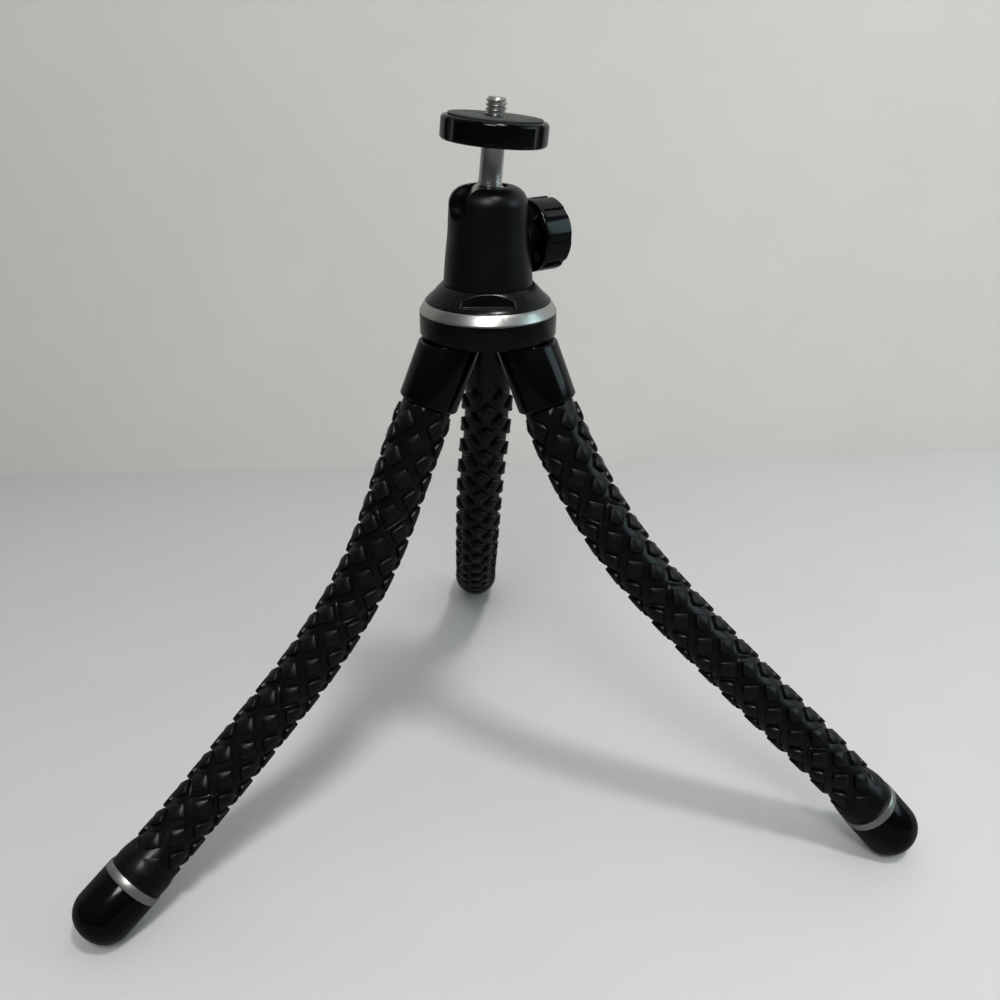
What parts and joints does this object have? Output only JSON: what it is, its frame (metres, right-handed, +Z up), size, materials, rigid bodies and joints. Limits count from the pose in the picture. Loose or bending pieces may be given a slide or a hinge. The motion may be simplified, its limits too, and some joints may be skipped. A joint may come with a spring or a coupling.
{
  "type": "camera tripod",
  "caption": "Small table tripod with flexible jointed legs, a ball head with a clamp knob and a screw platform for a camera.",
  "frame": {"origin": "on the floor, under the middle of the outline of the standing tripod", "axes": "+Z up from the floor to the camera screw, +X to the viewer's right as the tripod stands in the picture, +Y away from the viewer"},
  "size_m": [0.2846, 0.2406, 0.2491],
  "materials": {
    "sleeve_rubber": "satin, moulded in diamond pads",
    "brushed_ring": "brushed round",
    "gloss_black": "gloss",
    "link_plastic": "as moulded",
    "satin_black": "fine satin paint",
    "disc_black": "gloss",
    "polished_ring": "polished",
    "pad_rubber": "satin",
    "inner_plastic": "slippery white plastic",
    "inner_metal": "turned",
    "steel": "bright"
  },
  "bodies": {
    "hub": {"hub_base": "satin_black", "leg_carrier": "inner_metal", "hub_ring": "polished_ring", "hub_shoulder": "satin_black", "hub_screws": "steel", "centre_screw": "steel", "left_collar": "gloss_black", "left_link_0": "link_plastic", "right_collar": "gloss_black", "right_link_0": "link_plastic", "back_collar": "gloss_black", "back_link_0": "link_plastic"},
    "head": {"head_housing": "satin_black", "base_plug": "inner_plastic", "seat_spring": "steel", "ball_seat": "inner_plastic", "knob_washer": "inner_plastic"},
    "stem": {"ball_stem": "steel"},
    "platform": {"platform_disc": "disc_black", "platform_pad": "pad_rubber", "camera_screw": "steel"},
    "clamp": {"clamp_pad": "inner_plastic"},
    "knob": {"clamp_knob": "gloss_black", "knob_stud": "steel"},
    "left_leg_1": {"left_link_1": "link_plastic", "left_sleeve_1": "sleeve_rubber"},
    "left_leg_2": {"left_link_2": "link_plastic", "left_sleeve_2": "sleeve_rubber"},
    "left_leg_3": {"left_link_3": "link_plastic", "left_sleeve_3": "sleeve_rubber"},
    "left_leg_4": {"left_link_4": "link_plastic", "left_sleeve_4": "sleeve_rubber"},
    "left_leg_5": {"left_link_5": "link_plastic", "left_sleeve_5": "sleeve_rubber", "left_foot_ring": "brushed_ring", "left_foot_cap": "gloss_black"},
    "right_leg_1": {"right_link_1": "link_plastic", "right_sleeve_1": "sleeve_rubber"},
    "right_leg_2": {"right_link_2": "link_plastic", "right_sleeve_2": "sleeve_rubber"},
    "right_leg_3": {"right_link_3": "link_plastic", "right_sleeve_3": "sleeve_rubber"},
    "right_leg_4": {"right_link_4": "link_plastic", "right_sleeve_4": "sleeve_rubber"},
    "right_leg_5": {"right_link_5": "link_plastic", "right_sleeve_5": "sleeve_rubber", "right_foot_ring": "brushed_ring", "right_foot_cap": "gloss_black"},
    "back_leg_1": {"back_link_1": "link_plastic", "back_sleeve_1": "sleeve_rubber"},
    "back_leg_2": {"back_link_2": "link_plastic", "back_sleeve_2": "sleeve_rubber"},
    "back_leg_3": {"back_link_3": "link_plastic", "back_sleeve_3": "sleeve_rubber"},
    "back_leg_4": {"back_link_4": "link_plastic", "back_sleeve_4": "sleeve_rubber"},
    "back_leg_5": {"back_link_5": "link_plastic", "back_sleeve_5": "sleeve_rubber", "back_foot_ring": "brushed_ring", "back_foot_cap": "gloss_black"}
  },
  "joints": [
    {"name": "left_bend_1", "type": "hinge", "parent": "hub", "child": "left_leg_1", "pos_m": [-0.0367, -0.0477, 0.14234], "axis": [-0.454, 0.891, 0], "range_deg": [-20, 30], "deforming": ["left_sleeve_1"]},
    {"name": "left_bend_2", "type": "hinge", "parent": "left_leg_1", "child": "left_leg_2", "pos_m": [-0.04847, -0.0537, 0.10788], "axis": [-0.7454, -0.3636, 0.5587], "range_deg": [-30, 30], "deforming": ["left_sleeve_2"]},
    {"name": "left_bend_3", "type": "hinge", "parent": "left_leg_2", "child": "left_leg_3", "pos_m": [-0.067, -0.06274, 0.07728], "axis": [-0.5, 0.866, 0], "range_deg": [-20, 30], "deforming": ["left_sleeve_3"]},
    {"name": "left_bend_4", "type": "hinge", "parent": "left_leg_3", "child": "left_leg_4", "pos_m": [-0.08978, -0.07589, 0.0514], "axis": [-0.519, -0.3911, 0.76], "range_deg": [-30, 30], "deforming": ["left_sleeve_4"]},
    {"name": "left_bend_5", "type": "hinge", "parent": "left_leg_4", "child": "left_leg_5", "pos_m": [-0.11218, -0.09277, 0.02742], "axis": [-0.6561, 0.7547, 0], "range_deg": [-12, 30], "deforming": ["left_sleeve_5"]},
    {"name": "right_bend_1", "type": "hinge", "parent": "hub", "child": "right_leg_1", "pos_m": [0.01441, -0.04681, 0.14234], "axis": [-0.3007, -0.9537, 0], "range_deg": [-20, 30], "deforming": ["right_sleeve_1"]},
    {"name": "right_bend_2", "type": "hinge", "parent": "right_leg_1", "child": "right_leg_2", "pos_m": [0.03366, -0.05288, 0.11145], "axis": [0.7076, -0.1375, 0.6931], "range_deg": [-30, 30], "deforming": ["right_sleeve_2"]},
    {"name": "right_bend_3", "type": "hinge", "parent": "right_leg_2", "child": "right_leg_3", "pos_m": [0.05877, -0.05776, 0.08485], "axis": [-0.1564, -0.9877, 0], "range_deg": [-20, 30], "deforming": ["right_sleeve_3"]},
    {"name": "right_bend_4", "type": "hinge", "parent": "right_leg_3", "child": "right_leg_4", "pos_m": [0.0848, -0.06189, 0.05903], "axis": [0.6857, -0.0964, 0.7215], "range_deg": [-30, 30], "deforming": ["right_sleeve_4"]},
    {"name": "right_bend_5", "type": "hinge", "parent": "right_leg_4", "child": "right_leg_5", "pos_m": [0.11116, -0.06559, 0.03347], "axis": [-0.1305, -0.9914, 0], "range_deg": [-12, 30], "deforming": ["right_sleeve_5"]},
    {"name": "back_bend_1", "type": "hinge", "parent": "hub", "child": "back_leg_1", "pos_m": [-0.01192, -0.003, 0.14234], "axis": [0.9816, 0.1908, 0], "range_deg": [-20, 30], "deforming": ["back_sleeve_1"]},
    {"name": "back_bend_2", "type": "hinge", "parent": "back_leg_1", "child": "back_leg_2", "pos_m": [-0.01507, 0.01321, 0.10934], "axis": [-0.0762, 0.8706, 0.4861], "range_deg": [-30, 30], "deforming": ["back_sleeve_2"]},
    {"name": "back_bend_3", "type": "hinge", "parent": "back_leg_2", "child": "back_leg_3", "pos_m": [-0.01664, 0.03108, 0.07709], "axis": [0.9981, 0.061, 0], "range_deg": [-20, 30], "deforming": ["back_sleeve_3"]},
    {"name": "back_bend_4", "type": "hinge", "parent": "back_leg_3", "child": "back_leg_4", "pos_m": [-0.01806, 0.0543, 0.04845], "axis": [-0.0226, 0.6479, 0.7614], "range_deg": [-30, 30], "deforming": ["back_sleeve_4"]},
    {"name": "back_bend_5", "type": "hinge", "parent": "back_leg_4", "child": "back_leg_5", "pos_m": [-0.01904, 0.08238, 0.02453], "axis": [0.9994, 0.0349, 0], "range_deg": [-12, 30], "deforming": ["back_sleeve_5"]},
    {"name": "head_pan", "type": "hinge", "parent": "hub", "child": "head", "pos_m": [-0.01141, -0.0325, 0.19525], "axis": [0, 0, 1], "continuous": true},
    {"name": "ball_tilt", "type": "hinge", "parent": "head", "child": "stem", "pos_m": [-0.01141, -0.0325, 0.21895], "axis": [0.601, -0.7976, -0.0505], "range_deg": [-15, 93.83]},
    {"name": "platform_spin", "type": "hinge", "parent": "stem", "child": "platform", "pos_m": [-0.00995, -0.0325, 0.23629], "axis": [0.0837, 0, 0.9965], "continuous": true},
    {"name": "clamp_slide", "type": "slide", "parent": "head", "child": "clamp", "axis": [0.7986, 0.6018, 0], "range_m": [0, 0.0016]},
    {"name": "knob_turn", "type": "hinge", "parent": "clamp", "child": "knob", "pos_m": [-0.00062, -0.02438, 0.20795], "axis": [0.7986, 0.6018, 0], "range_deg": [0, 720]}
  ],
  "couplings": [
    {"joint": "knob_turn", "follows": "clamp_slide", "rad_per_m": 7853.9}
  ]
}
